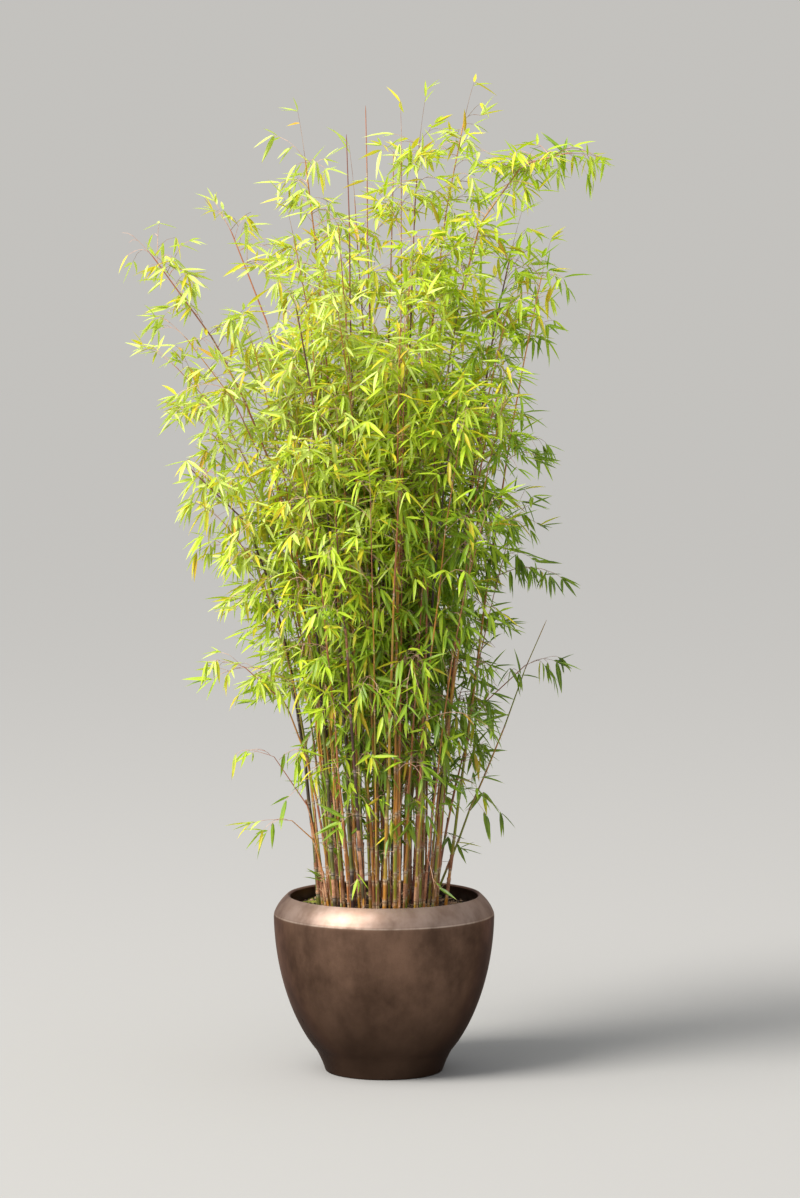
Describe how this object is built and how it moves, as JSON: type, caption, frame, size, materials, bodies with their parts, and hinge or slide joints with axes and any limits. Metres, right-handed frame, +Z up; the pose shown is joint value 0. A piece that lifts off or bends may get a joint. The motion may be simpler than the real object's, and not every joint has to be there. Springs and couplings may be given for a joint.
{
  "type": "potted bamboo",
  "caption": "Tall clump of bamboo with slender canes and narrow leaves, growing in a round tapering planter.",
  "frame": {"origin": "centre of the planter's flat underside", "axes": "+Z up along the planter's axis, the pictured front faces -Y, +X to the right in the picture"},
  "size_m": [0.9813, 0.849, 2.0175],
  "materials": {
    "planter": "satin bronze lacquer",
    "soil": "crumbly and matt",
    "cane_tan": "smooth and waxy",
    "cane_dark": "smooth and waxy",
    "foliage": "thin satin leaves"
  },
  "bodies": {
    "root": {"cane_01": "cane_tan", "cane_02": "cane_tan", "cane_03": "cane_dark", "cane_04": "cane_tan", "cane_05": "cane_tan", "cane_06": "cane_dark", "cane_07": "cane_tan", "cane_08": "cane_tan", "cane_09": "cane_dark", "cane_10": "cane_tan", "cane_11": "cane_tan", "cane_12": "cane_dark", "cane_13": "cane_tan", "cane_14": "cane_tan", "cane_15": "cane_dark", "cane_16": "cane_tan", "cane_17": "cane_tan", "cane_18": "cane_dark", "cane_19": "cane_tan", "cane_20": "cane_tan", "cane_21": "cane_dark", "cane_22": "cane_tan", "cane_23": "cane_tan", "cane_24": "cane_dark", "cane_25": "cane_tan", "cane_26": "cane_tan", "cane_27": "cane_dark", "cane_28": "cane_tan", "cane_29": "cane_tan", "cane_30": "cane_dark", "cane_31": "cane_tan", "cane_32": "cane_tan", "cane_33": "cane_dark", "cane_34": "cane_tan", "cane_35": "cane_tan", "cane_36": "cane_dark", "cane_37": "cane_tan", "cane_38": "cane_tan", "cane_39": "cane_dark", "foliage_01": "foliage", "foliage_02": "foliage", "foliage_03": "foliage", "foliage_04": "foliage", "foliage_05": "foliage", "foliage_06": "foliage", "foliage_07": "foliage", "foliage_08": "foliage", "foliage_09": "foliage", "foliage_10": "foliage", "foliage_11": "foliage", "foliage_12": "foliage", "foliage_13": "foliage", "foliage_14": "foliage", "foliage_15": "foliage", "foliage_16": "foliage", "foliage_17": "foliage", "foliage_18": "foliage", "foliage_19": "foliage", "pot": "planter", "soil": "soil"}
  },
  "joints": []
}
